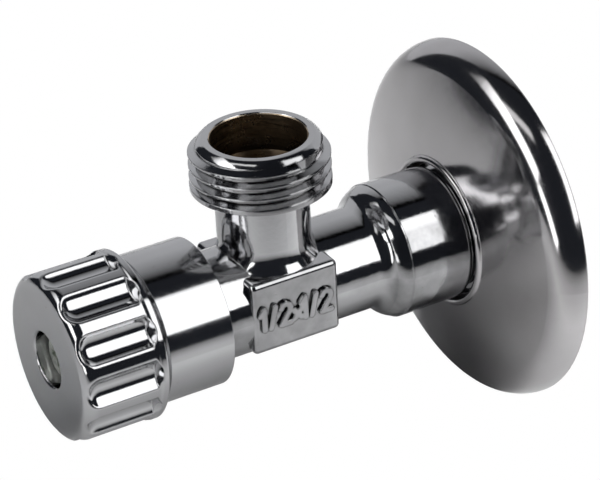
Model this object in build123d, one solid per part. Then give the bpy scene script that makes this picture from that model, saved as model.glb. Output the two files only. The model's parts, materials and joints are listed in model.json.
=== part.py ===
"""Angle stop valve, G1/2 by G1/2, with a fluted knob, a bonnet shroud and a wall rosette.

Frame: +Z up along the outlet, +Y into the wall along the inlet, millimetres.
The origin is where the main axis meets the finished wall, at the back of the rosette.
Stations along the main axis are written as distances from the outlet axis (negative
towards the knob) and moved into the frame by OUTLET_Y.
"""
import math
import os

from build123d import *

# Where the outlet axis stands in front of the wall
OUTLET_Y = -38.0

# Radial gaps: inside one body, and across a joint
FIT_GAP = 0.03
RUN_GAP = 0.05

# Small sizes used throughout: edge chamfer, flank beside a thread land, axial gap between
# touching faces, and how far a cutter runs past the face it opens
EDGE_BREAK = 0.3
LAND_FLANK = 0.6
FACE_GAP = 0.02
CUT_OVER = 1.0

# G1/2 pipe thread, on the outlet and on the inlet nipple
G12_MAJOR_R = 10.4775
G12_MINOR_R = 9.3155
G12_CREST_R = G12_MAJOR_R - 0.03
G12_PITCH = 1.814
G12_ROOT_HALF = 0.78
G12_CREST_HALF = 0.16
RIDGE_SINK = 0.15

# Valve body, outside
FRONT_COLLAR_R = 10.2
FRONT_COLLAR_FROM = -18.0
FRONT_COLLAR_TO = -12.7
FRONT_NECK_R = 8.35
GRIP_GROOVE_FROM = -14.3
GRIP_GROOVE_TO = -13.2
GRIP_GROOVE_R = 9.35
REAR_NECK_R = 7.95
BARREL_R = 10.5
BARREL_TO = 30.3
BARREL_END_R = 9.4
REAR_FLARE = ((15.0, REAR_NECK_R), (16.4, 8.3, 17.3, 9.2), (18.2, 9.93, 19.2, 10.33), (19.35, BARREL_R))
RING_LAND_FROM = 31.3
RING_LAND_TO = 35.8
THREAD_LAND_FROM = 37.5
THREAD_LAND_TO = 38.6
NIPPLE_TO = 49.0
NIPPLE_CHAMFER = 0.8
BLOCK_HALF_X = 8.5
BLOCK_FROM = -7.2
BLOCK_TO = 7.4
BLOCK_BOTTOM = -5.4
BLOCK_TOP = 6.2
BLOCK_EDGE_R = 0.8

# Outlet branch
OUTLET_TOP = 25.4
OUTLET_NECK_R = 7.0
OUTLET_ROOT = ((0, 8.2), (5.9, 8.2), (7.3, 7.35, 9.6, OUTLET_NECK_R))
OUTLET_THREAD_FROM = 17.7
OUTLET_RIDGE_LENGTH = 5.9
OUTLET_RIDGE_LIFT = 0.25
OUTLET_RIDGE_TURN = -85.0
OUTLET_LEAD = 1.75
OUTLET_BORE_R = 7.15
OUTLET_BORE_TO = 19.4
OUTLET_CONE_TO = 15.4
OUTLET_PORT_R = 5.4
OUTLET_BORE_CHAMFER = 0.25
OUTLET_FACE_R = 8.35
OUTLET_LIP_R = 9.2
OUTLET_LIP_HIGH = 0.75
OUTLET_LIP_MIDDLE = (OUTLET_TOP - 0.33, OUTLET_FACE_R + 0.47)
OUTLET_LEAD_R = G12_MINOR_R + 0.1

# Waterway inside the body
SOCKET_R = 8.33
SOCKET_TO = -12.9
CHAMBER_R = 7.2
SEAT_AT = 5.85
SEAT_LIP_R = 5.5
SEAT_R = 4.6
CHAMBER_TO = 7.0
ORIFICE_TO = 12.0
INLET_BORE_R = 6.2
STRAINER_SEAT_R = 7.4
STRAINER_SEAT_FROM = 47.8
ORIFICE_CONE = 1.2

# Raised size marking on the block
MARK_STROKE = 0.95
MARK_HEIGHT = 4.3
MARK_RAISE = 0.45
MARK_SINK = 0.2
MARK_BASELINE = -1.8
MARK_MIDDLE = 0.1
MARK_HALF_AT = 3.45

# Bonnet
HEX_AF = 17.0
HEX_FROM = -21.4
HEX_TO = -18.8
BONNET_NECK_R = 6.2
BONNET_NECK_FROM = -24.4
BONNET_TAIL_R = 6.95
BONNET_TAIL_TO = -5.0
JOURNAL_R = 4.0
SHOULDER_AT = -17.6
PLUG_GUIDE_TO = -10.65
PLUG_GUIDE_R = 5.65
PLUG_FLAT_HALF = 4.85
PLUG_LAND_R = 5.95

# Spindle
SPLINE_TIP_R = 3.9
SPLINE_ROOT_R = 3.6
SPLINE_TEETH = 20
SPINDLE_FRONT = -30.4
SPLINE_TO = -25.7
COLLAR_R = 4.75
COLLAR_FROM = -16.95
COLLAR_TO = -15.8
SPINDLE_THREAD_R = 3.85
SPINDLE_ROOT_R = 3.15
SPINDLE_PITCH = 1.5
SPINDLE_BACK = -7.5
ORING_GROOVE_R = 2.9
ORING_GROOVES = ((-22.3, -20.8), (-19.8, -18.3))
CLIP_GROOVE_R = 3.3
CLIP_GROOVE_WIDE = 0.85
CLIP_R = 5.5
CLIP_GAP_WIDE = 4.6
ORING_SECTION_R = 0.53
SPINDLE_ROOT_HALF = 0.62
SPINDLE_CREST_HALF = 0.2
SPINDLE_TAPPED = 7.5

# Sliding plug, shown closed
PLUG_FRONT = -12.6
PLUG_LAND_FROM = -7.55
PLUG_LAND_TO = -4.9
PLUG_GROOVE = (-7.1, -5.6)
PLUG_GROOVE_R = 4.95
PLUG_STEM_R = 4.3
PLUG_DISC_R = 6.2
PLUG_DISC_FROM = 1.4
PLUG_DISC_TO = 3.2
PLUG_RIM_TO = 4.6
WASHER_R = 5.75
WASHER_TO = SEAT_AT - 0.03
PLUG_BORE_TO = -4.2
PLUG_ORING_SECTION_R = 0.48
SCREW_BORE_DEPTH = 5.5

# Screws and washers
M4_R = 2.0
M4_HEAD_R = 3.7
M4_HEAD_HIGH = 2.9
M4_TO = 6.2
RECESS_ARM = 1.9
RECESS_WIDE = 0.8
SPRING_WASHER_R = 3.5
SPRING_WASHER_THICK = 0.71
M3_R = 1.5
M3_HEAD_R = 2.75
M3_HEAD_HIGH = 1.8
M3_LONG = 4.8
M3_SLOT = 0.8
WASHER_PLATE_R = 3.6
WASHER_PLATE_THICK = 0.6

# Shroud sleeve
SLEEVE_R = 11.3
SLEEVE_BORE_R = 10.4
SLEEVE_FROM = -22.55
SLEEVE_WEB_TO = -21.45
SLEEVE_TO = -11.9

# Knob
KNOB_R = 12.7
KNOB_RIM_R = 12.9
KNOB_FRONT = -36.4
KNOB_BACK = -23.3
KNOB_EDGE_R = 1.8
KNOB_HOLE_R = 4.24
KNOB_HOLE_CHAMFER = 0.25
KNOB_HOLE_FLOOR = -31.8
KNOB_WEB_BACK = -30.6
KNOB_CAVITY_R = 10.2
KNOB_CAVITY_FLOOR = -27.0
KNOB_HUB_R = 7.4
KNOB_HUB_BACK = -25.9
INSERT_AF = 10.0
FLUTES = 12
FLUTE_TOOL_R = 2.8
FLUTE_DEPTH = 1.45
FLUTE_FROM = -36.3
FLUTE_TO = -25.0
FLUTE_EDGE_R = 0.5
FLUTE_RUN_OUT = 0.85
FLUTE_RUN_OUT_RISE = 1.55

# Wall rosette
FLANGE_R = 28.5
FLANGE_HOLE_R = 10.9
FLANGE_DOME_R = 84.0
FLANGE_ROLL_R = 5.0
FLANGE_SHEET = 1.0
FLANGE_LIP = 1.1

# Rubber rings and the bonnet's gasket
GASKET_R = 9.8
SHROUD_RING_R = 9.87
SHROUD_RING_SECTION_R = 0.49
GRIP_RING_R = 13.6
GRIP_RING = (31.6, 34.2)

# Inlet strainer
STRAINER_RIM_BORE_R = 5.0
STRAINER_BASKET_R = 5.9
STRAINER_NOSE_R = 5.2
STRAINER_FLOOR = 37.2
STRAINER_WALL = 1.0
STRAINER_SLOTS = 6
STRAINER_SLOT_LONG = 6.5
STRAINER_SLOT_WIDE = 0.8


def at(station):
    """Frame Y of a station given as a distance from the outlet axis."""
    return station + OUTLET_Y


def outline(moves):
    """Closed face from (axial, radius) corners; a 4-tuple is an arc through its first pair."""
    edges = []
    here = moves[0]
    for move in list(moves[1:]) + [moves[0]]:
        start = (here[1], here[0])
        if len(move) == 4:
            here = (move[2], move[3])
            edges.append(ThreePointArc(start, (move[1], move[0]), (here[1], here[0])))
        else:
            here = move
            if (here[1], here[0]) != start:
                edges.append(Line(start, (here[1], here[0])))
    return make_face(Wire(edges))


def turned(moves):
    """Solid turned about the main axis from (station, radius) corners."""
    return Pos(0, OUTLET_Y, 0) * revolve(outline(moves), Axis.Y)


def turned_up(moves):
    """Solid turned about the outlet axis from (height, radius) corners."""
    upright = Rot(90, 0, 0) * revolve(outline(moves), Axis.Y)
    return Pos(0, OUTLET_Y, 0) * upright


def ring(start, end, outer, inner):
    """Plain ring on the main axis."""
    return turned([(start, inner), (start, outer), (end, outer), (end, inner)])


def rod(start, end, radius):
    """Plain cylinder on the main axis."""
    return turned([(start, 0), (start, radius), (end, radius), (end, 0)])


def prism(section, start, end):
    """A sketch drawn about the origin, extruded along the main axis between two stations."""
    face_y = Plane((0, at(start), 0), x_dir=(1, 0, 0), z_dir=(0, 1, 0))
    return extrude(face_y * section, end - start)


def round_ring(station, radius, section):
    """O-ring on the main axis."""
    return Pos(0, at(station), 0) * Rot(90, 0, 0) * Torus(radius, section)


def helical_ridge(minor, major, pitch, length, root_half, crest_half):
    """Thread ridge about Z whose middle climbs from z=0 at +X to z=length."""
    inner = minor - RIDGE_SINK
    path = Helix(pitch=pitch, height=length, radius=inner)
    section = make_face(
        Polyline(
            (inner, 0, -root_half),
            (major, 0, -crest_half),
            (major, 0, crest_half),
            (inner, 0, root_half),
            close=True,
        )
    )
    return sweep(section, path=path, is_frenet=True)


def g_half_ridge(length):
    """G1/2 thread ridge about Z."""
    return helical_ridge(G12_MINOR_R, G12_CREST_R, G12_PITCH, length, G12_ROOT_HALF, G12_CREST_HALF)


def stroke(points, width):
    """Rounded line through the given points."""
    shape = None
    for start, end in zip(points, points[1:]):
        across = end[0] - start[0]
        rise = end[1] - start[1]
        bar = SlotCenterToCenter(math.hypot(across, rise), width)
        turn = Rot(0, 0, math.degrees(math.atan2(rise, across)))
        middle = Pos((start[0] + end[0]) / 2, (start[1] + end[1]) / 2, 0)
        bar = middle * turn * bar
        shape = bar if shape is None else shape + bar
    return shape


def arc_points(centre, radius, start, end, steps):
    """Points along an arc, angles in degrees."""
    angles = [math.radians(start + (end - start) * i / steps) for i in range(steps + 1)]
    return [(centre[0] + radius * math.cos(a), centre[1] + radius * math.sin(a)) for a in angles]


def size_marking():
    """Nominal pipe size '1/2x1/2' as rounded strokes, baseline at 0, centred across."""
    high = MARK_HEIGHT - MARK_STROKE
    bow = 0.24 * high
    two = arc_points((0, high - bow), bow, 170, -35, 5) + [(-bow, 0), (bow, 0)]
    half = [
        (-2.15, [(-0.65, high - 0.8), (0, high), (0, 0)]),
        (-0.75, [(-0.35, 0), (0.45, high)]),
        (1.45, two),
    ]
    cross = [[(-0.6, 0.35), (0.6, 1.75)], [(-0.6, 1.75), (0.6, 0.35)]]
    marks = [[(x, y) for x, y in line] for line in cross]
    for middle in (-MARK_HALF_AT, MARK_HALF_AT):
        for place, line in half:
            marks.append([(x + place + middle, y) for x, y in line])
    shape = None
    for line in marks:
        bar = stroke(line, MARK_STROKE)
        shape = bar if shape is None else shape + bar
    return shape


def build_valve_body():
    """Forged and turned body: front socket, block, barrel, nipple and outlet branch."""
    shell = turned(
        [
            (FRONT_COLLAR_FROM, 0),
            (FRONT_COLLAR_FROM, FRONT_COLLAR_R - EDGE_BREAK),
            (FRONT_COLLAR_FROM + EDGE_BREAK, FRONT_COLLAR_R),
            (GRIP_GROOVE_FROM, FRONT_COLLAR_R),
            (GRIP_GROOVE_FROM, GRIP_GROOVE_R),
            (GRIP_GROOVE_TO, GRIP_GROOVE_R),
            (GRIP_GROOVE_TO, FRONT_COLLAR_R),
            (FRONT_COLLAR_TO, FRONT_COLLAR_R),
            (FRONT_COLLAR_TO + 0.4, FRONT_NECK_R),
            (BLOCK_FROM + 2, FRONT_NECK_R),
            (BLOCK_TO - 2, REAR_NECK_R),
            *REAR_FLARE,
            (BARREL_TO - 1.1, BARREL_R),
            (BARREL_TO - 0.35, BARREL_R - 0.35, BARREL_TO, BARREL_END_R),
            (RING_LAND_FROM - 0.2, BARREL_END_R),
            (RING_LAND_FROM + 0.2, G12_MAJOR_R),
            (RING_LAND_TO, G12_MAJOR_R),
            (RING_LAND_TO + LAND_FLANK, G12_MINOR_R),
            (THREAD_LAND_FROM - LAND_FLANK, G12_MINOR_R),
            (THREAD_LAND_FROM, G12_MAJOR_R),
            (THREAD_LAND_TO, G12_MAJOR_R),
            (THREAD_LAND_TO + LAND_FLANK, G12_MINOR_R),
            (NIPPLE_TO - NIPPLE_CHAMFER, G12_MINOR_R),
            (NIPPLE_TO, G12_MINOR_R - NIPPLE_CHAMFER),
            (NIPPLE_TO, 0),
        ]
    )
    block = Pos(0, at((BLOCK_FROM + BLOCK_TO) / 2), (BLOCK_BOTTOM + BLOCK_TOP) / 2) * Box(
        2 * BLOCK_HALF_X, BLOCK_TO - BLOCK_FROM, BLOCK_TOP - BLOCK_BOTTOM
    )
    block = fillet(block.edges(), BLOCK_EDGE_R)
    branch = turned_up(
        [
            (0, 0),
            *OUTLET_ROOT,
            (OUTLET_THREAD_FROM - 0.9, OUTLET_NECK_R),
            (
                OUTLET_THREAD_FROM - 0.55,
                OUTLET_NECK_R + 0.15,
                OUTLET_THREAD_FROM - 0.4,
                OUTLET_NECK_R + 0.5,
            ),
            (OUTLET_THREAD_FROM - 0.4, G12_MINOR_R + 0.5),
            (OUTLET_THREAD_FROM, G12_MAJOR_R),
            (OUTLET_THREAD_FROM + 0.7, G12_MAJOR_R),
            (OUTLET_THREAD_FROM + 0.7 + LAND_FLANK, G12_MINOR_R),
            (OUTLET_TOP - OUTLET_LIP_HIGH - 0.15, G12_MINOR_R),
            (OUTLET_TOP - OUTLET_LIP_HIGH, OUTLET_LIP_R),
            (*OUTLET_LIP_MIDDLE, OUTLET_TOP, OUTLET_FACE_R),
            (OUTLET_TOP, 0),
        ]
    )
    body = shell + block + branch

    socket = rod(FRONT_COLLAR_FROM - CUT_OVER, SOCKET_TO, SOCKET_R)
    chamber = turned(
        [
            (SOCKET_TO - CUT_OVER, 0),
            (SOCKET_TO - CUT_OVER, CHAMBER_R),
            (CHAMBER_TO, CHAMBER_R),
            (CHAMBER_TO, SEAT_LIP_R),
            (SEAT_AT, SEAT_LIP_R - 0.35),
            (SEAT_AT, SEAT_R),
            (ORIFICE_TO, SEAT_R),
            (ORIFICE_TO + ORIFICE_CONE, INLET_BORE_R),
            (STRAINER_SEAT_FROM, INLET_BORE_R),
            (STRAINER_SEAT_FROM, STRAINER_SEAT_R),
            (NIPPLE_TO + CUT_OVER, STRAINER_SEAT_R),
            (NIPPLE_TO + CUT_OVER, 0),
        ]
    )
    outlet = turned_up(
        [
            (0, 0),
            (0, OUTLET_PORT_R),
            (OUTLET_CONE_TO, OUTLET_PORT_R),
            (OUTLET_BORE_TO, OUTLET_BORE_R),
            (OUTLET_TOP - OUTLET_BORE_CHAMFER, OUTLET_BORE_R),
            (OUTLET_TOP, OUTLET_BORE_R + OUTLET_BORE_CHAMFER),
            (OUTLET_TOP + CUT_OVER, OUTLET_BORE_R + OUTLET_BORE_CHAMFER),
            (OUTLET_TOP + CUT_OVER, 0),
        ]
    )
    body = body - socket - chamber - outlet

    outlet_ridge = Rot(0, 0, OUTLET_RIDGE_TURN) * g_half_ridge(OUTLET_RIDGE_LENGTH)
    body = body + Pos(0, OUTLET_Y, OUTLET_THREAD_FROM + OUTLET_RIDGE_LIFT) * outlet_ridge
    nipple_ridge = g_half_ridge(NIPPLE_TO - THREAD_LAND_TO - 1.7)
    body = body + Pos(0, at(THREAD_LAND_TO), 0) * Rot(-90, 0, 0) * nipple_ridge
    lead = turned_up(
        [
            (OUTLET_TOP - OUTLET_LEAD, G12_MAJOR_R + 0.4),
            (OUTLET_TOP - OUTLET_LIP_HIGH - 0.1, OUTLET_LEAD_R),
            (OUTLET_TOP + CUT_OVER, OUTLET_LEAD_R),
            (OUTLET_TOP + CUT_OVER, G12_MAJOR_R + 0.4),
        ]
    )
    body = body - lead

    corner = (BLOCK_HALF_X, at(MARK_MIDDLE), MARK_BASELINE + MARK_STROKE / 2)
    face = Plane(corner, x_dir=(0, 1, 0), z_dir=(1, 0, 0))
    marking = extrude(face * size_marking(), MARK_RAISE) + extrude(face * size_marking(), -MARK_SINK)
    return body + marking


def hexagon(across_flats):
    """Regular hexagon with the given size across its flats."""
    return RegularPolygon(across_flats / 2, 6, major_radius=False)


def flatted_disc(radius, half_width):
    """Disc with two parallel flats."""
    return Circle(radius) & Rectangle(2 * radius + 1, 2 * half_width)


def build_bonnet_housing():
    """Headwork screwed into the body: hexagon, thread land, guide and tail."""
    outside = turned(
        [
            (BONNET_NECK_FROM, 0),
            (BONNET_NECK_FROM, BONNET_NECK_R - EDGE_BREAK),
            (BONNET_NECK_FROM + EDGE_BREAK, BONNET_NECK_R),
            (HEX_FROM, BONNET_NECK_R),
            (HEX_FROM, SOCKET_R),
            (HEX_TO, SOCKET_R - FIT_GAP),
            (SOCKET_TO - 0.9, SOCKET_R - FIT_GAP),
            (SOCKET_TO - 0.3, BONNET_TAIL_R),
            (BONNET_TAIL_TO, BONNET_TAIL_R),
            (BONNET_TAIL_TO, 0),
        ]
    )
    corner_r = HEX_AF / math.sqrt(3)
    hex_trim = turned(
        [
            (HEX_FROM, 0),
            (HEX_FROM, HEX_AF / 2 - 0.2),
            (HEX_FROM + 0.75, corner_r + 0.05),
            (HEX_TO, corner_r + 0.05),
            (HEX_TO, 0),
        ]
    )
    outside = outside + (prism(hexagon(HEX_AF), HEX_FROM, HEX_TO) & hex_trim)
    bore = rod(BONNET_NECK_FROM - CUT_OVER, SHOULDER_AT + CUT_OVER, JOURNAL_R + RUN_GAP)
    recess = rod(SHOULDER_AT, COLLAR_TO + 0.2, COLLAR_R + 0.1)
    guide = flatted_disc(PLUG_GUIDE_R + RUN_GAP, PLUG_FLAT_HALF + RUN_GAP)
    guide = prism(guide, COLLAR_TO, PLUG_GUIDE_TO)
    land = rod(PLUG_GUIDE_TO, BONNET_TAIL_TO + CUT_OVER, PLUG_LAND_R + RUN_GAP)
    return outside - bore - recess - guide - land


def splined(tip, root):
    """Star section with the spline's teeth."""
    corners = []
    for i in range(2 * SPLINE_TEETH):
        radius = tip if i % 2 == 0 else root
        angle = math.pi * i / SPLINE_TEETH
        corners.append((radius * math.cos(angle), radius * math.sin(angle)))
    return make_face(Polyline(*corners, close=True))


def build_spindle():
    """Non-rising spindle: spline, clip groove, sealed journal, collar, driving thread."""
    groove_from = BONNET_NECK_FROM - CLIP_GROOVE_WIDE
    groove_to = BONNET_NECK_FROM - FACE_GAP
    corners = [(SPLINE_TO - 0.3, 0), (SPLINE_TO - 0.3, SPLINE_ROOT_R), (SPLINE_TO, SPLINE_ROOT_R)]
    corners += [(SPLINE_TO, JOURNAL_R), (groove_from, JOURNAL_R)]
    corners += [(groove_from, CLIP_GROOVE_R), (groove_to, CLIP_GROOVE_R)]
    corners += [(groove_to, JOURNAL_R)]
    for start, end in ORING_GROOVES:
        corners += [(start, JOURNAL_R), (start, ORING_GROOVE_R), (end, ORING_GROOVE_R), (end, JOURNAL_R)]
    corners += [(COLLAR_FROM, JOURNAL_R), (COLLAR_FROM, COLLAR_R), (COLLAR_TO, COLLAR_R)]
    corners += [(COLLAR_TO, SPINDLE_ROOT_R), (SPINDLE_BACK - 0.4, SPINDLE_ROOT_R)]
    corners += [(SPINDLE_BACK, SPINDLE_ROOT_R - 0.4), (SPINDLE_BACK, 0)]
    shaft = turned(corners)
    spline = prism(splined(SPLINE_TIP_R, SPLINE_ROOT_R), SPINDLE_FRONT, SPLINE_TO)
    length = SPINDLE_BACK - COLLAR_TO - 2.0
    half = (SPINDLE_ROOT_HALF, SPINDLE_CREST_HALF)
    ridge = helical_ridge(SPINDLE_ROOT_R, SPINDLE_THREAD_R, SPINDLE_PITCH, length, *half)
    ridge = Pos(0, at(COLLAR_TO + 0.9), 0) * Rot(-90, 0, 0) * ridge
    tapping = rod(SPINDLE_FRONT - CUT_OVER, SPINDLE_FRONT + SPINDLE_TAPPED, M4_R + FIT_GAP)
    return shaft + spline + ridge - tapping


def build_spindle_clip():
    """Open retaining clip, gap at the bottom."""
    disc = ring(BONNET_NECK_FROM - 0.8, BONNET_NECK_FROM - 0.07, CLIP_R, CLIP_GROOVE_R + FIT_GAP)
    gap = Pos(0, at(BONNET_NECK_FROM - 0.4), -5) * Box(CLIP_GAP_WIDE, 3, 8)
    return disc - gap


def build_sliding_plug():
    """Plug driven along the bonnet by the spindle thread, carrying the seat washer."""
    turned_part = turned(
        [
            (PLUG_LAND_FROM, 0),
            (PLUG_LAND_FROM, PLUG_LAND_R - 0.2),
            (PLUG_LAND_FROM + 0.2, PLUG_LAND_R),
            (PLUG_GROOVE[0], PLUG_LAND_R),
            (PLUG_GROOVE[0], PLUG_GROOVE_R),
            (PLUG_GROOVE[1], PLUG_GROOVE_R),
            (PLUG_GROOVE[1], PLUG_LAND_R),
            (PLUG_LAND_TO, PLUG_LAND_R),
            (PLUG_LAND_TO, PLUG_STEM_R),
            (PLUG_DISC_FROM - 1.0, PLUG_STEM_R),
            (PLUG_DISC_FROM, PLUG_DISC_R),
            (PLUG_RIM_TO, PLUG_DISC_R),
            (PLUG_RIM_TO, WASHER_R + FIT_GAP),
            (PLUG_DISC_TO, WASHER_R + FIT_GAP),
            (PLUG_DISC_TO, 0),
        ]
    )
    guide = prism(flatted_disc(PLUG_GUIDE_R, PLUG_FLAT_HALF), PLUG_FRONT, PLUG_LAND_FROM)
    thread_bore = rod(PLUG_FRONT - CUT_OVER, PLUG_BORE_TO, SPINDLE_THREAD_R + RUN_GAP)
    screw_bore = rod(PLUG_DISC_TO - SCREW_BORE_DEPTH, PLUG_DISC_TO + CUT_OVER, M3_R + FIT_GAP)
    return turned_part + guide - thread_bore - screw_bore


def cross_recess(station, depth, arm, width):
    """Cross-shaped driver recess opening towards the knob side."""
    bar = Box(2 * arm, depth, width)
    cross = bar + Box(width, depth, 2 * arm)
    return Pos(0, at(station + depth / 2), 0) * cross


def build_knob_screw():
    """M4 pan-head screw with a cross recess."""
    head_top = KNOB_HOLE_FLOOR - M4_HEAD_HIGH
    under = KNOB_HOLE_FLOOR - SPRING_WASHER_THICK - 2 * FACE_GAP
    tip = SPINDLE_FRONT + M4_TO
    screw = turned(
        [
            (head_top, 0),
            (head_top, 2.6),
            (head_top + 0.35, 3.45, head_top + 1.2, M4_HEAD_R),
            (under, M4_HEAD_R),
            (under, M4_R),
            (tip - 0.6, M4_R),
            (tip, M4_R - 0.6),
            (tip, 0),
        ]
    )
    return screw - cross_recess(head_top - 0.2, 1.5, RECESS_ARM, RECESS_WIDE)


def build_washer_screw():
    """M3 pan-head screw that holds the seat washer."""
    under = WASHER_TO + WASHER_PLATE_THICK + FACE_GAP
    tip = PLUG_DISC_TO - M3_LONG
    head_top = WASHER_TO + WASHER_PLATE_THICK + M3_HEAD_HIGH
    screw = turned(
        [
            (tip, 0),
            (tip, M3_R - EDGE_BREAK),
            (tip + 0.4, M3_R),
            (under, M3_R),
            (under, M3_HEAD_R),
            (head_top - 0.9, M3_HEAD_R),
            (head_top - 0.3, 2.3, head_top, 1.6),
            (head_top, 0),
        ]
    )
    slot = Pos(0, at(head_top - 0.2), 0) * Box(8, 1.2, M3_SLOT)
    return screw - slot


def build_spring_washer():
    """Split lock washer under the knob screw."""
    back = KNOB_HOLE_FLOOR - FACE_GAP
    washer = ring(back - SPRING_WASHER_THICK, back, SPRING_WASHER_R, M4_R + 0.1)
    cut = Pos(0, at(KNOB_HOLE_FLOOR - 0.4), 3) * Rot(0, 0, 20) * Box(0.5, 3, 3)
    return washer - cut


def on_flute(edge):
    """True for the long and nose edges where a flute runs out into the knob's outside."""
    middle = edge @ 0.5
    radius = math.hypot(middle.X, middle.Z)
    ahead = at(KNOB_FRONT + 0.1) < middle.Y < at(FLUTE_TO - 0.1)
    return ahead and radius > KNOB_R - 0.7 and edge.geom_type != GeomType.CIRCLE


def build_knob():
    """Fluted knob with a shoulder hole in front and a cavity behind."""
    shell = turned(
        [
            (KNOB_FRONT, KNOB_HOLE_R + KNOB_HOLE_CHAMFER),
            (KNOB_FRONT, KNOB_R - KNOB_EDGE_R),
            (
                KNOB_FRONT + KNOB_EDGE_R * (1 - math.sqrt(0.5)),
                KNOB_R - KNOB_EDGE_R * (1 - math.sqrt(0.5)),
                KNOB_FRONT + KNOB_EDGE_R,
                KNOB_R,
            ),
            (KNOB_BACK - 1.35, KNOB_R),
            (KNOB_BACK - 1.05, KNOB_RIM_R),
            (KNOB_BACK - 0.2, KNOB_RIM_R),
            (KNOB_BACK, KNOB_RIM_R - 0.2),
            (KNOB_BACK, KNOB_CAVITY_R),
            (KNOB_CAVITY_FLOOR, KNOB_CAVITY_R),
            (KNOB_CAVITY_FLOOR, KNOB_HUB_R),
            (KNOB_HUB_BACK, KNOB_HUB_R),
            (KNOB_HUB_BACK, M4_R + 0.15),
            (KNOB_HOLE_FLOOR, M4_R + 0.15),
            (KNOB_HOLE_FLOOR, KNOB_HOLE_R),
            (KNOB_FRONT + KNOB_HOLE_CHAMFER, KNOB_HOLE_R),
        ]
    )
    socket = hexagon(INSERT_AF + 2 * FIT_GAP)
    shell = shell - prism(socket, KNOB_WEB_BACK, KNOB_HUB_BACK + CUT_OVER)
    centre_r = KNOB_R - FLUTE_DEPTH + FLUTE_TOOL_R
    nose = FLUTE_FROM + math.sqrt(FLUTE_TOOL_R**2 - (FLUTE_TOOL_R - FLUTE_DEPTH) ** 2)
    tool = Rot(90, 0, 0) * Cylinder(FLUTE_TOOL_R, FLUTE_TO - nose)
    tool = Pos(0, (FLUTE_TO + nose) / 2, 0) * tool
    tool = tool + Pos(0, nose, 0) * Sphere(FLUTE_TOOL_R)
    run_out = Pos(0, FLUTE_TO, 0) * Rot(-90, 0, 0) * Cone(
        FLUTE_TOOL_R,
        FLUTE_TOOL_R - FLUTE_RUN_OUT_RISE,
        FLUTE_RUN_OUT,
        align=(Align.CENTER, Align.CENTER, Align.MIN),
    )
    tool = Pos(centre_r, OUTLET_Y, 0) * (tool + run_out)
    for i in range(FLUTES):
        shell = shell - Rot(0, 360 * i / FLUTES, 0) * tool
    return fillet([edge for edge in shell.edges() if on_flute(edge)], FLUTE_EDGE_R)


def build_knob_insert():
    """Splined adaptor pressed into the knob's hexagon socket."""
    insert = prism(hexagon(INSERT_AF), KNOB_WEB_BACK + FACE_GAP, KNOB_HUB_BACK)
    socket = splined(SPLINE_TIP_R + RUN_GAP, SPLINE_ROOT_R + RUN_GAP)
    return insert - prism(socket, KNOB_WEB_BACK - CUT_OVER, KNOB_HUB_BACK + CUT_OVER)


def build_shroud_sleeve():
    """Drawn sleeve over the bonnet, with a web at its front."""
    return turned(
        [
            (SLEEVE_FROM, BONNET_NECK_R + 0.2),
            (SLEEVE_FROM, SLEEVE_R - 0.45),
            (SLEEVE_FROM + 0.35, SLEEVE_R),
            (SLEEVE_TO, SLEEVE_R),
            (SLEEVE_TO, SLEEVE_BORE_R),
            (SLEEVE_WEB_TO, SLEEVE_BORE_R),
            (SLEEVE_WEB_TO, BONNET_NECK_R + 0.2),
        ]
    )


def build_wall_flange():
    """Pressed rosette: domed face, rolled rim down to the wall, turned-in hole."""
    roll_c = FLANGE_R - FLANGE_ROLL_R
    slope = math.asin(roll_c / (FLANGE_DOME_R - FLANGE_ROLL_R))
    wall = -OUTLET_Y

    def rolled(angle, roll):
        return (wall - roll * math.cos(angle), roll_c + roll * math.sin(angle))

    inner_roll = FLANGE_ROLL_R - FLANGE_SHEET
    mid_angle = (slope + math.pi / 2) / 2
    outer_start = rolled(slope, FLANGE_ROLL_R)
    inner_start = rolled(slope, inner_roll)
    centre = wall + (FLANGE_DOME_R - FLANGE_ROLL_R) * math.cos(slope)

    def dome(radius, reach):
        return centre - math.sqrt(reach**2 - radius**2)

    hole = FLANGE_HOLE_R
    inner_reach = FLANGE_DOME_R - FLANGE_SHEET
    mid_r = (hole + FLANGE_LIP + outer_start[1]) / 2
    mid_inner = (hole + inner_start[1]) / 2
    front = dome(hole, FLANGE_DOME_R)
    return turned(
        [
            (dome(hole, inner_reach), hole),
            (front - 0.1, hole),
            (front - 0.45, hole + 0.5, front - 0.1, hole + 1.0),
            (dome(hole + FLANGE_LIP, FLANGE_DOME_R), hole + FLANGE_LIP),
            (dome(mid_r, FLANGE_DOME_R), mid_r, *outer_start),
            (*rolled(mid_angle, FLANGE_ROLL_R), wall, FLANGE_R),
            (wall, FLANGE_R - FLANGE_SHEET),
            (*rolled(mid_angle, inner_roll), *inner_start),
            (dome(mid_inner, inner_reach), mid_inner, dome(hole, inner_reach), hole),
        ]
    )


def build_flange_grip_ring():
    """Rubber ring behind the rosette that grips the nipple."""
    return ring(*GRIP_RING, GRIP_RING_R, G12_MAJOR_R + 0.07)


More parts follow.
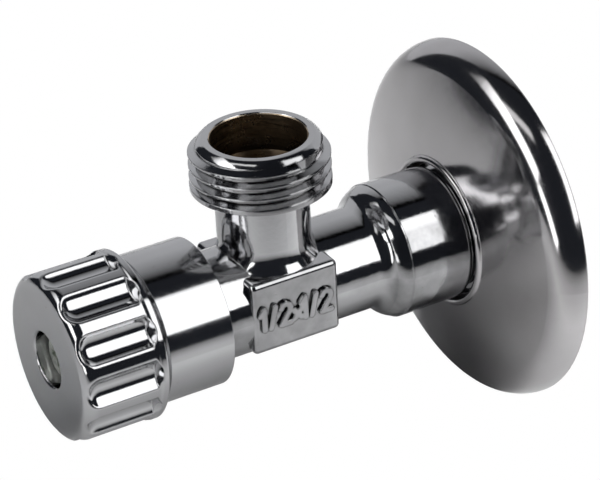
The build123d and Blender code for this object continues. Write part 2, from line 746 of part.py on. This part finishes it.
def build_inlet_strainer():
    """Moulded strainer: rim in the counterbore, slotted basket inside the inlet."""
    back = NIPPLE_TO - 0.1
    cup = ring(STRAINER_SEAT_FROM + FACE_GAP, back, STRAINER_SEAT_R - FIT_GAP, STRAINER_RIM_BORE_R)
    basket = turned(
        [
            (back, STRAINER_RIM_BORE_R),
            (back, STRAINER_BASKET_R),
            (STRAINER_FLOOR + 0.8, STRAINER_NOSE_R),
            (STRAINER_FLOOR, STRAINER_NOSE_R - 0.8),
            (STRAINER_FLOOR, 0),
            (STRAINER_FLOOR + STRAINER_WALL, 0),
            (STRAINER_FLOOR + STRAINER_WALL, STRAINER_NOSE_R - 0.9),
        ]
    )
    strainer = cup + basket
    slot = Box(14, STRAINER_SLOT_LONG, STRAINER_SLOT_WIDE)
    for i in range(STRAINER_SLOTS):
        turn = Rot(0, 180 * (i + 0.5) / STRAINER_SLOTS, 0)
        strainer = strainer - Pos(0, at(42.6), 0) * turn * slot
    for offset in (-2.4, -0.8, 0.8, 2.4):
        opening = Box(2 * math.sqrt(9.6 - offset**2), 3, 0.7)
        strainer = strainer - Pos(0, at(STRAINER_FLOOR + STRAINER_WALL / 2), offset) * opening
    return strainer


def build_all():
    """Every piece by its node name."""
    grooves = [(start + end) / 2 for start, end in ORING_GROOVES]
    stem_ring_r = (ORING_GROOVE_R + JOURNAL_R) / 2 + 0.005
    plug_ring_r = (PLUG_GROOVE_R + PLUG_LAND_R) / 2
    grip_middle = (GRIP_GROOVE_FROM + GRIP_GROOVE_TO) / 2
    thrust = (SHOULDER_AT + 0.05, COLLAR_FROM - FACE_GAP)
    plate = (WASHER_TO + 0.01, WASHER_TO + WASHER_PLATE_THICK)
    parts = {
        "valve_body": build_valve_body(),
        "bonnet_housing": build_bonnet_housing(),
        "bonnet_gasket": ring(HEX_TO + 0.01, FRONT_COLLAR_FROM - 0.01, GASKET_R, SOCKET_R + 0.1),
        "spindle": build_spindle(),
        "spindle_clip": build_spindle_clip(),
        "spindle_oring_front": round_ring(grooves[0], stem_ring_r, ORING_SECTION_R),
        "spindle_oring_rear": round_ring(grooves[1], stem_ring_r, ORING_SECTION_R),
        "thrust_washer": ring(*thrust, COLLAR_R, JOURNAL_R + 0.02),
        "sliding_plug": build_sliding_plug(),
        "plug_oring": round_ring(sum(PLUG_GROOVE) / 2, plug_ring_r, PLUG_ORING_SECTION_R),
        "seat_washer": ring(PLUG_DISC_TO + 0.01, WASHER_TO, WASHER_R, M3_R + RUN_GAP),
        "washer_plate": ring(*plate, WASHER_PLATE_R, M3_R + RUN_GAP),
        "washer_screw": build_washer_screw(),
        "knob": build_knob(),
        "knob_insert": build_knob_insert(),
        "knob_screw": build_knob_screw(),
        "knob_spring_washer": build_spring_washer(),
        "shroud_sleeve": build_shroud_sleeve(),
        "shroud_grip_ring": round_ring(grip_middle, SHROUD_RING_R, SHROUD_RING_SECTION_R),
        "wall_flange": build_wall_flange(),
        "flange_grip_ring": build_flange_grip_ring(),
        "inlet_strainer": build_inlet_strainer(),
    }
    return parts


os.makedirs("parts", exist_ok=True)
for name, shape in build_all().items():
    export_step(shape, f"parts/{name}.step")
    box = shape.bounding_box()
    print(name, len(shape.solids()), round(shape.volume, 1), box.min, box.max)
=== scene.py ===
"""Studio scene for the angle stop valve: materials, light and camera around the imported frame."""

import json
import math

import bpy
from mathutils import Matrix, Vector


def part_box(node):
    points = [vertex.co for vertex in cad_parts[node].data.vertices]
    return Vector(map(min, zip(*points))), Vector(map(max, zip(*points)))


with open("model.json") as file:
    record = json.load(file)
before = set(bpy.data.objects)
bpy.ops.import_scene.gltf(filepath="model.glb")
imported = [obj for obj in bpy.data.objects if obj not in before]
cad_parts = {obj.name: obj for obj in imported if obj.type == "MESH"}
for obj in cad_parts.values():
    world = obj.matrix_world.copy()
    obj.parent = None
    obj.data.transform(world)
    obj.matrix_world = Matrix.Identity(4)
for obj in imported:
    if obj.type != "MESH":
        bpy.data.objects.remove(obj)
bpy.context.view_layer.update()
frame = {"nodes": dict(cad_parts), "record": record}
nodes = frame["nodes"]

MM = 0.001
OUTLET_Y = -38.0 * MM
OUTLET_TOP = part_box("valve_body")[1].z
BLOCK_HALF_X = 8.5 * MM
FLOOR_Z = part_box("wall_flange")[0].z

# Camera: orbit angles about the crossing of the two pipe axes, and where that crossing sits in view
CAMERA_AZIMUTH = 60.951
CAMERA_ELEVATION = 28.850
CAMERA_ROLL = -3.058
CAMERA_DISTANCE = 405.485 * MM
CAMERA_SIDE = 4.856 * MM
CAMERA_LIFT = 7.011 * MM
CAMERA_LENS = 163.53

# Studio: a key soft box on the wall side; a strip box, a low card and a lip card in front, seen
# only in the chrome; a grey sweep behind; a pale table.
# Angles are degrees above the horizon in the XZ plane; reaches are metres from the valve.
KEY_LOW = 11.8
KEY_HIGH = 67.8
KEY_REACH = 0.60
KEY_Y = (0.13, 0.58)
KEY_POWER = 2.3
KEY_FILL_POWER = 11.8
STRIP_REACH = 0.70
STRIP_POWER = 3.0
LIP_POWER = 1.1
SWEEP_POWER = 0.60
TABLE_RIGHT = 0.135
TABLE_LEFT = -1.2
TABLE_FRONT = -0.38
TABLE_BACK = 0.9
SHADE_HALF_WIDE = 34 * MM
SHADE_HALF_LONG = 56 * MM
PAPER = 0.8
FLOOR_HALF = 6.0


# ---------------------------------------------------------------- node helpers
class Graph:
    """Small helper that adds and links nodes of one material."""

    def __init__(self, name):
        self.material = bpy.data.materials.new(name)
        self.material.use_nodes = True
        self.tree = self.material.node_tree
        self.tree.nodes.clear()
        self.output = self.tree.nodes.new("ShaderNodeOutputMaterial")
        self.place = self.tree.nodes.new("ShaderNodeTexCoord").outputs["Object"]

    def add(self, kind, inputs=None, **settings):
        node = self.tree.nodes.new(kind)
        for key, value in settings.items():
            setattr(node, key, value)
        for key, value in (inputs or {}).items():
            self.feed(node.inputs[key], value)
        return node

    def feed(self, socket, value):
        if isinstance(value, bpy.types.NodeSocket):
            self.tree.links.new(value, socket)
        else:
            socket.default_value = value

    def coordinates(self):
        return self.add("ShaderNodeSeparateXYZ", {0: self.place}).outputs

    def math(self, operation, a, b=0.0):
        return self.add("ShaderNodeMath", {0: a, 1: b}, operation=operation).outputs[0]

    def distance(self, a, b):
        squares = self.math("ADD", self.math("MULTIPLY", a, a), self.math("MULTIPLY", b, b))
        return self.math("SQRT", squares)

    def noise(self, size, detail=2.0, roughness=0.5, place=None):
        """Noise from 0 to 1 whose features are about the given size in metres."""
        node = self.add(
            "ShaderNodeTexNoise",
            {"Vector": place or self.place, "Scale": 1.0 / size, "Detail": detail, "Roughness": roughness},
        )
        return node.outputs["Fac"]

    def stretched(self, scale):
        """The object's coordinates scaled per axis."""
        return self.add("ShaderNodeMapping", {"Vector": self.place, "Scale": scale}).outputs[0]

    def span(self, value, low, high, to_low=0.0, to_high=1.0):
        node = self.add(
            "ShaderNodeMapRange",
            {"Value": value, "From Min": low, "From Max": high, "To Min": to_low, "To Max": to_high},
        )
        return node.outputs[0]

    def blend(self, factor, a, b):
        node = self.add("ShaderNodeMix", {0: factor, 6: a, 7: b}, data_type="RGBA")
        return node.outputs[2]

    def grey(self, level):
        return self.add("ShaderNodeCombineXYZ", {0: level, 1: level, 2: level}).outputs[0]

    def multiply(self, a, b):
        inputs = {0: 1.0, 6: a, 7: b}
        return self.add("ShaderNodeMix", inputs, data_type="RGBA", blend_type="MULTIPLY").outputs[2]

    def mix(self, factor, a, b):
        return self.add("ShaderNodeMix", {0: factor, 2: a, 3: b}, data_type="FLOAT").outputs[0]

    def bump(self, height, depth, normal=None):
        """Normal from a height of 0 to 1 that stands for the given depth in metres."""
        inputs = {"Height": height, "Distance": depth, "Strength": 1.0}
        if normal is not None:
            inputs["Normal"] = normal
        return self.add("ShaderNodeBump", inputs).outputs[0]

    def metal(self, base, roughness, normal, metallic=1.0):
        inputs = {"Base Color": base, "Metallic": metallic, "Roughness": roughness, "Normal": normal}
        return self.add("ShaderNodeBsdfPrincipled", inputs)

    def emission(self, colour, strength):
        return self.add("ShaderNodeEmission", {"Color": colour, "Strength": strength})

    def finish(self, shader):
        self.tree.links.new(shader.outputs[0], self.output.inputs["Surface"])
        return self.material


def rgba(red, green, blue):
    return (red, green, blue, 1.0)


WHITE = rgba(1, 1, 1)


# ------------------------------------------------------------------- materials
CHROME = rgba(0.545, 0.548, 0.560)
CHROME_DULL = rgba(0.500, 0.500, 0.508)
CHROME_SPECK = rgba(0.20, 0.19, 0.18)
# Near-black colour of the painted shade in the body's sharp corners, and how far that shade reaches
CREVICE_SHADE = rgba(0.03, 0.028, 0.026)
CREVICE_SHADE_REACH = 0.7 * MM
RAGGED_SIZE = 0.55 * MM
RAGGED_DEPTH = 0.005 * MM
PIT_SIZE = 1.1 * MM
PIT_DEPTH = 0.012 * MM

# Where the body's raw brass starts: radii just past the bores, and the outlet's plated top edge
OUTLET_WIDE_FROM = 17.7 * MM
OUTLET_PORT_LIMIT = 6.2 * MM
OUTLET_BORE_LIMIT = 7.32 * MM
OUTLET_PLATED_LIP = 0.12 * MM
MAIN_BORE_LIMIT = 7.7 * MM


def chrome_base(graph, wave_size, wave_depth, edge, grain_scale, grain_depth, rough=(0.05, 0.12)):
    """Plated surface: base colour, roughness and normal sockets."""
    clouds = graph.noise(9 * MM, 4.0)
    haze = graph.noise(0.9 * MM, 6.0, 0.65)
    base = graph.blend(graph.span(clouds, 0.35, 0.7), CHROME, CHROME_DULL)
    specks = graph.noise(0.55 * MM, 3.0, 0.5)
    base = graph.blend(graph.span(specks, 0.74, 0.80), base, CHROME_SPECK)
    roughness = graph.span(haze, 0.3, 0.8, *rough)
    soft_edge = graph.add("ShaderNodeBevel", {"Radius": edge}, samples=6).outputs[0]
    wavy = graph.bump(graph.noise(wave_size, 3.0, 0.45), wave_depth, soft_edge)
    grain = graph.noise(0.25 * MM, 2.0, 0.6, graph.stretched(grain_scale))
    normal = graph.bump(grain, grain_depth, wavy)
    return base, roughness, normal


def chrome(
    name,
    wave_size,
    wave_depth,
    edge,
    grain_scale=(1, 1, 1),
    grain_depth=0.0,
    rough=(0.05, 0.12),
    tint=(1, 1, 1),
):
    graph = Graph(name)
    base, roughness, normal = chrome_base(
        graph, wave_size, wave_depth, edge, grain_scale, grain_depth, rough
    )
    base = graph.multiply(base, rgba(*tint))
    return graph.finish(graph.metal(base, roughness, normal))


def turned_brass(graph, light=1.0):
    """Raw brass with fine turning rings about the outlet axis, dimmed by the given factor as painted
    shade.
    """
    stain = graph.noise(3 * MM, 5.0, 0.6)
    colour = graph.blend(graph.span(stain, 0.3, 0.75), rgba(0.74, 0.62, 0.46), rgba(0.36, 0.27, 0.18))
    rings = graph.noise(0.45 * MM, 4.0, 0.7, graph.stretched((0.10, 0.10, 1.0)))
    colour = graph.blend(graph.span(rings, 0.50, 0.72), colour, rgba(0.10, 0.07, 0.045))
    colour = graph.blend(light, rgba(0.03, 0.02, 0.012), colour)
    normal = graph.bump(rings, 0.05 * MM)
    roughness = graph.span(stain, 0.2, 0.8, 0.22, 0.36)
    return graph.metal(colour, roughness, normal)


def inside_waterway(graph, x, y, z):
    """1 on the raw brass inside the outlet and the main bore, 0 on the plated outside."""
    outlet_r = graph.distance(x, graph.math("SUBTRACT", y, OUTLET_Y))
    main_r = graph.distance(x, z)
    wide = graph.math("GREATER_THAN", z, OUTLET_WIDE_FROM)
    limit = graph.mix(wide, OUTLET_PORT_LIMIT, OUTLET_BORE_LIMIT)
    below_lip = graph.math("LESS_THAN", z, OUTLET_TOP - OUTLET_PLATED_LIP)
    in_outlet = graph.math("MULTIPLY", graph.math("LESS_THAN", outlet_r, limit), below_lip)
    in_main = graph.math("LESS_THAN", main_r, MAIN_BORE_LIMIT)
    return graph.math("MAXIMUM", in_outlet, in_main)


def body_chrome():
    """Chrome outside and raw brass inside the waterway, with painted shade in the sharp corners and
    painted shade deeper into the bores.
    """
    graph = Graph("body_chrome")
    x, y, z = graph.coordinates()
    on_marking = graph.span(x, BLOCK_HALF_X - 0.02 * MM, BLOCK_HALF_X + 0.10 * MM)
    edge = graph.mix(on_marking, 0.16 * MM, 0.42 * MM)
    base, roughness, normal = chrome_base(
        graph, 2.4 * MM, 0.020 * MM, edge, (0.3, 0.3, 1.0), 0.0016 * MM, (0.06, 0.14)
    )
    normal = graph.bump(graph.noise(RAGGED_SIZE, 2.0, 0.6), RAGGED_DEPTH, normal)
    # Painted shade: ambient occlusion darkens the sharp corners, the marking's outlines among them,
    # towards a near-black colour
    crevice_shade = graph.add(
        "ShaderNodeAmbientOcclusion", {"Distance": CREVICE_SHADE_REACH}, samples=8, only_local=True
    ).outputs["AO"]
    base = graph.blend(graph.span(crevice_shade, 0.45, 0.85), CREVICE_SHADE, base)
    # Darkens the block's marked face by a random 15 to 38 per cent
    on_block = graph.span(x, BLOCK_HALF_X - 0.9 * MM, BLOCK_HALF_X - 0.3 * MM)
    block_face_dimming = graph.span(graph.noise(3.5 * MM, 4.0, 0.6), 0.35, 0.75, 0.62, 0.85)
    base = graph.multiply(base, graph.grey(graph.mix(on_block, 1.0, block_face_dimming)))
    pits = graph.noise(PIT_SIZE, 3.0, 0.55)
    normal = graph.bump(graph.span(pits, 0.70, 0.80), -PIT_DEPTH, normal)
    plated = graph.metal(base, roughness, normal)
    # Painted shade: the raw brass darkens towards near black deeper into the outlet and is darkest in the
    # main bore
    raw = turned_brass(graph, graph.span(z, 18.5 * MM, 24 * MM, 0.12, 1.0))
    inside = inside_waterway(graph, x, y, z)
    shader = graph.add("ShaderNodeMixShader", {0: inside, 1: plated.outputs[0], 2: raw.outputs[0]})
    return graph.finish(shader)


def brass():
    graph = Graph("brass")
    return graph.finish(turned_brass(graph))


def zinc_steel():
    graph = Graph("zinc_steel")
    cloud = graph.noise(0.7 * MM, 5.0, 0.6)
    base = graph.blend(graph.span(cloud, 0.3, 0.7), rgba(0.90, 0.92, 0.85), rgba(0.50, 0.54, 0.47))
    normal = graph.bump(graph.noise(0.3 * MM, 3.0), 0.03 * MM)
    roughness = graph.span(cloud, 0.2, 0.8, 0.25, 0.45)
    return graph.finish(graph.metal(base, roughness, normal, metallic=0.3))


def moulded(name, colour, shade, roughness, grain, depth):
    """Rubber, fibre or plastic with a fine surface grain."""
    graph = Graph(name)
    cloud = graph.noise(4 * MM, 4.0, 0.6)
    base = graph.blend(graph.span(cloud, 0.3, 0.7), colour, shade)
    normal = graph.bump(graph.noise(grain, 4.0, 0.6), depth)
    worn = graph.span(cloud, 0.2, 0.8, roughness - 0.06, roughness + 0.06)
    return graph.finish(graph.metal(base, worn, normal, metallic=0.0))


KNOB_GRAIN = ((1, 1, 1), 0.0011 * MM)
SLEEVE_GRAIN = ((0.1, 1.0, 0.1), 0.0006 * MM)
ROSETTE_GRAIN = ((1, 1, 1), 0.0004 * MM)
ROSETTE_TINT = (1.02, 0.995, 0.99)
FIBRE = (rgba(0.40, 0.10, 0.06), rgba(0.28, 0.07, 0.05))
WHITE_PLASTIC = (rgba(0.80, 0.79, 0.74), rgba(0.74, 0.72, 0.66))
BLACK_RUBBER = (rgba(0.020, 0.020, 0.022), rgba(0.032, 0.031, 0.030))

finishes = {
    "body_chrome": body_chrome(),
    "knob_chrome": chrome("knob_chrome", 2.6 * MM, 0.012 * MM, 0.35 * MM, *KNOB_GRAIN, (0.05, 0.11)),
    "sleeve_chrome": chrome("sleeve_chrome", 6.0 * MM, 0.006 * MM, 0.2 * MM, *SLEEVE_GRAIN, (0.08, 0.16)),
    "rosette_chrome": chrome(
        "rosette_chrome", 8.0 * MM, 0.020 * MM, 0.3 * MM, *ROSETTE_GRAIN, (0.10, 0.18), ROSETTE_TINT
    ),
    "brass": brass(),
    "zinc_steel": zinc_steel(),
    "fibre": moulded("fibre", *FIBRE, 0.75, 0.25 * MM, 0.02 * MM),
    "white_plastic": moulded("white_plastic", *WHITE_PLASTIC, 0.42, 0.5 * MM, 0.006 * MM),
    "black_rubber": moulded("black_rubber", *BLACK_RUBBER, 0.55, 0.3 * MM, 0.01 * MM),
}
slot_of = {part["node"]: part["material_slot"] for part in frame["record"]["subparts"]}
for name, piece in nodes.items():
    for slot in piece.material_slots:
        slot.material = finishes[slot_of[name]]


# ---------------------------------------------------------------------- studio
SQUARE = ((-1, -1), (1, -1), (1, 1), (-1, 1))


def emitter(name, colour, strength):
    graph = Graph(name)
    return graph.finish(graph.emission(colour, strength))


def card(name, corners, material, camera=False, glossy=True, diffuse=True, shadow=True):
    """Flat studio surface; only the flags given make it count for those rays."""
    mesh = bpy.data.meshes.new(name)
    mesh.from_pydata(corners, [], [tuple(range(len(corners)))])
    piece = bpy.data.objects.new(name, mesh)
    bpy.context.scene.collection.objects.link(piece)
    mesh.materials.append(material)
    piece.visible_camera = camera
    piece.visible_glossy = glossy
    piece.visible_diffuse = diffuse
    piece.visible_shadow = shadow
    return piece


def key_corner(angle, y):
    """Corner of the key box's face, which stands square to its middle direction."""
    middle = math.radians((KEY_LOW + KEY_HIGH) / 2)
    out = Vector((math.cos(middle), 0, math.sin(middle)))
    across = Vector((-math.sin(middle), 0, math.cos(middle)))
    spread = math.tan(math.radians(angle) - middle) * KEY_REACH
    point = out * KEY_REACH + across * spread
    return (point.x, y, point.z)


def panel(middle, along, half_long, half_wide, reach):
    """Corners of a rectangle square to its middle direction, sizes as angles in degrees."""
    out = Vector(middle).normalized()
    long_way = Vector(along)
    long_way = (long_way - out * long_way.dot(out)).normalized()
    wide_way = out.cross(long_way)
    long_reach = math.tan(math.radians(half_long)) * reach
    wide_reach = math.tan(math.radians(half_wide)) * reach
    return [
        tuple(out * reach + long_way * (a * long_reach) + wide_way * (b * wide_reach)) for a, b in SQUARE
    ]


def key_face():
    """Key box as seen in the chrome, dimmer towards its top."""
    graph = Graph("key_face")
    z = graph.coordinates()[2]
    level = graph.math("MULTIPLY", graph.span(z, 0.57, 0.63, 1.0, 0.6), KEY_POWER)
    return graph.finish(graph.emission(WHITE, level))


def strip_face():
    """Strip box that is brightest at its low end and dies away at the high one."""
    graph = Graph("strip_face")
    x = graph.coordinates()[0]
    return graph.finish(graph.emission(WHITE, graph.span(x, -0.42, -0.10, 0.30, STRIP_POWER)))


def sweep_paper():
    """Grey backdrop that falls off towards the dark ceiling."""
    graph = Graph("sweep_paper")
    height = graph.coordinates()[2]
    level = graph.span(height, 0.45, 1.7, SWEEP_POWER, 0.0)
    return graph.finish(graph.emission(rgba(0.96, 0.97, 1.0), level))


def table_paper():
    """Pale paper with a painted shadow right under the valve and painted shade where it rolls away on the
    right.
    """
    graph = Graph("table_paper")
    x, y, z = graph.coordinates()
    across = graph.math("DIVIDE", x, SHADE_HALF_WIDE)
    along = graph.math("DIVIDE", graph.math("SUBTRACT", y, OUTLET_Y), SHADE_HALF_LONG)
    # Painted shadow: an ellipse under the valve darkened to 35 per cent
    under = graph.span(graph.distance(across, along), 0.1, 1.35, 0.35, 1.0)
    # Painted shade: the paper darkens to 10 per cent towards its right edge
    painted_edge_shade = graph.span(x, 0.045, TABLE_RIGHT, 1.0, 0.10)
    level = graph.math("MULTIPLY", graph.math("MULTIPLY", under, painted_edge_shade), PAPER)
    colour = graph.grey(level)
    shader = graph.add("ShaderNodeBsdfPrincipled", {"Base Color": colour, "Roughness": 0.9})
    return graph.finish(shader)


key_frame = [
    key_corner(KEY_LOW, KEY_Y[0]),
    key_corner(KEY_LOW, KEY_Y[1]),
    key_corner(KEY_HIGH, KEY_Y[1]),
    key_corner(KEY_HIGH, KEY_Y[0]),
]
card("key_box", key_frame, key_face(), diffuse=False, shadow=False)
card("key_fill", key_frame, emitter("key_fill", WHITE, KEY_FILL_POWER), glossy=False)
card(
    "strip_box",
    panel((-0.12, -0.76, 0.62), (-1.05, 0.29, 0.58), 30, 11, STRIP_REACH),
    strip_face(),
    diffuse=False,
)
card(
    "low_card",
    panel((0.40, -0.90, 0.06), (-0.58, 0.0, 0.60), 14, 6, STRIP_REACH),
    emitter("low_card_face", WHITE, STRIP_POWER),
    diffuse=False,
)
card(
    "sweep",
    [(-1.0, -0.25, -0.02), (0.0, 1.1, -0.02), (0.0, 1.1, 2.2), (-1.0, -0.25, 2.2)],
    sweep_paper(),
)
card(
    "lip_card",
    panel((0.06, -0.49, 0.795), (0.60, 0.32, 0.155), 20, 5, STRIP_REACH),
    emitter("lip_card_face", WHITE, LIP_POWER),
    diffuse=False,
)
table_z = FLOOR_Z - 0.2 * MM
card(
    "table",
    [
        (TABLE_LEFT, TABLE_FRONT, table_z),
        (TABLE_RIGHT, TABLE_FRONT, table_z),
        (TABLE_RIGHT, TABLE_BACK, table_z),
        (TABLE_LEFT, TABLE_BACK, table_z),
    ],
    table_paper(),
)
card(
    "floor",
    [(a * FLOOR_HALF, b * FLOOR_HALF, table_z + 0.1 * MM) for a, b in SQUARE],
    emitter("floor_white", WHITE, 1.0),
    camera=True,
    glossy=False,
    diffuse=False,
    shadow=False,
)
world = bpy.data.worlds.new("studio")
bpy.context.scene.world = world
world.use_nodes = True
world.node_tree.nodes["Background"].inputs["Color"].default_value = rgba(0.019, 0.021, 0.026)
world.node_tree.nodes["Background"].inputs["Strength"].default_value = 1.0


# ---------------------------------------------------------------------- camera
def place_camera():
    turn, rise = math.radians(CAMERA_AZIMUTH), math.radians(CAMERA_ELEVATION)
    back = Vector((math.sin(turn) * math.cos(rise), -math.cos(turn) * math.cos(rise), math.sin(rise)))
    right = Vector((math.cos(turn), math.sin(turn), 0))
    up = back.cross(right)
    c, s = math.cos(math.radians(CAMERA_ROLL)), math.sin(math.radians(CAMERA_ROLL))
    right, up = c * right + s * up, c * up - s * right
    eye = Vector((0, OUTLET_Y, 0)) + right * CAMERA_SIDE + up * CAMERA_LIFT + back * CAMERA_DISTANCE
    data = bpy.data.cameras.new("camera")
    data.lens = CAMERA_LENS
    data.sensor_width = 36.0
    data.clip_start = 0.01
    data.clip_end = 20.0
    camera = bpy.data.objects.new("camera", data)
    bpy.context.scene.collection.objects.link(camera)
    camera.matrix_world = Matrix.Translation(eye) @ Matrix((right, up, back)).transposed().to_4x4()
    bpy.context.scene.camera = camera


place_camera()
bpy.context.scene.view_settings.view_transform = "Standard"
